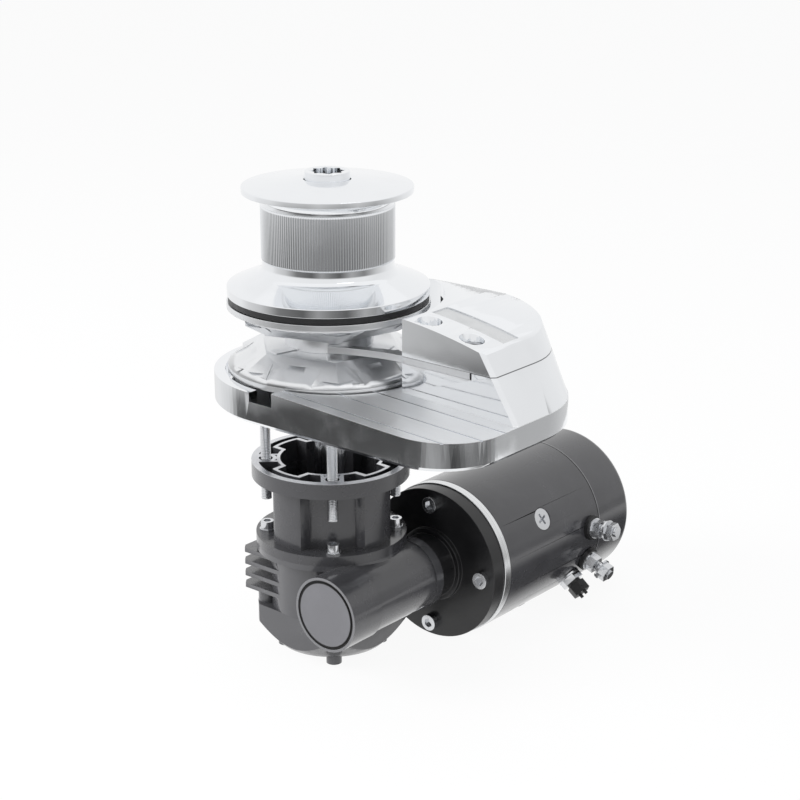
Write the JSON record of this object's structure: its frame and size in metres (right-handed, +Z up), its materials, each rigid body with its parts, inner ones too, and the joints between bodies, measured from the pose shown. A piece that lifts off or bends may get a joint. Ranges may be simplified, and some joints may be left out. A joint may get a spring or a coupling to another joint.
{
  "type": "vertical anchor windlass",
  "caption": "Deck-mounted vertical anchor windlass: rope drum over chain gypsy on a base with chain pipe housing, worm gearbox and electric motor below deck.",
  "frame": {"origin": "main shaft axis at the deck plane, the underside of the base plate", "axes": "+X from the gypsy towards the chain pipe housing, +Y along the motor away from its worm end cap, +Z up along the main shaft"},
  "size_m": [0.272, 0.336, 0.3773],
  "materials": {
    "polished": "polished",
    "satin_steel": "satin",
    "name_plate": "satin",
    "bearing_steel": "ground",
    "gearbox_paint": "satin paint",
    "end_cap_paint": "satin paint",
    "motor_paint": "semi-gloss paint",
    "flange_black": "semi-gloss paint",
    "ring_aluminium": "turned",
    "black_rubber": "matt",
    "black_plastic": "matt",
    "bronze": "machined",
    "core_steel": "machined",
    "copper": "varnished",
    "carbon": "matt",
    "brush_board": "matt"
  },
  "bodies": {
    "base": {"base_plate": "polished", "housing_cap": "polished", "cap_screws": "satin_steel", "name_plate": "name_plate", "chain_stripper": "satin_steel", "upper_bush": "bronze", "upper_seal": "black_rubber", "deck_studs": "satin_steel", "deck_spacer": "gearbox_paint", "spacer_screws": "satin_steel", "shaft_seal": "black_rubber", "gearbox_housing": "gearbox_paint", "upper_bearing": "bearing_steel", "lower_bearing": "bearing_steel", "bottom_cover": "gearbox_paint", "cover_screws": "satin_steel", "worm_end_cap": "end_cap_paint", "end_cap_seal": "black_rubber", "worm_front_bearing": "bearing_steel", "worm_rear_bearing": "bearing_steel", "motor_flange": "flange_black", "flange_screws": "satin_steel", "front_ring": "ring_aluminium", "motor_front_bearing": "bearing_steel", "motor_yoke": "motor_paint", "pole_shoes": "core_steel", "field_coils": "copper", "pole_screws": "satin_steel", "rear_cap": "motor_paint", "through_bolts": "satin_steel", "rear_bearing": "bearing_steel", "brush_plate": "brush_board", "brushes": "carbon", "brush_springs": "satin_steel", "terminal_insulators": "black_plastic", "terminal_studs": "satin_steel", "terminal_nuts": "satin_steel", "thermal_switch": "black_plastic", "switch_nut": "satin_steel"},
    "main_shaft": {"main_shaft": "satin_steel", "shaft_keys": "satin_steel", "lower_cone": "core_steel", "worm_wheel": "bronze", "wheel_hub": "core_steel", "shaft_circlips": "satin_steel"},
    "gypsy": {"gypsy": "satin_steel", "gypsy_bush": "bronze"},
    "drum": {"drum": "polished", "clutch_ring": "black_plastic", "nut_washer": "bronze"},
    "clutch_nut": {"clutch_nut": "satin_steel"},
    "worm": {"worm_shaft": "satin_steel", "shaft_coupling": "satin_steel", "motor_shaft": "satin_steel", "armature_core": "core_steel", "armature_windings": "copper", "commutator": "copper"}
  },
  "joints": [
    {"name": "main_shaft_spin", "type": "hinge", "parent": "base", "child": "main_shaft", "pos_m": [0, 0, 0], "axis": [0, 0, 1], "continuous": true},
    {"name": "worm_spin", "type": "hinge", "parent": "base", "child": "worm", "pos_m": [0.0493, 0, -0.1435], "axis": [0, 1, 0], "continuous": true},
    {"name": "gypsy_spin", "type": "hinge", "parent": "main_shaft", "child": "gypsy", "pos_m": [0, 0, 0.0502], "axis": [0, 0, 1], "continuous": true},
    {"name": "drum_lift", "type": "slide", "parent": "main_shaft", "child": "drum", "axis": [0, 0, 1], "range_m": [0, 0.002]},
    {"name": "clutch_nut_turn", "type": "hinge", "parent": "drum", "child": "clutch_nut", "pos_m": [0, 0, 0.13], "axis": [0, 0, 1], "range_deg": [0, 288]}
  ],
  "couplings": [
    {"joint": "worm_spin", "follows": "main_shaft_spin", "ratio": -30},
    {"joint": "clutch_nut_turn", "follows": "drum_lift", "rad_per_m": 2513.3}
  ]
}
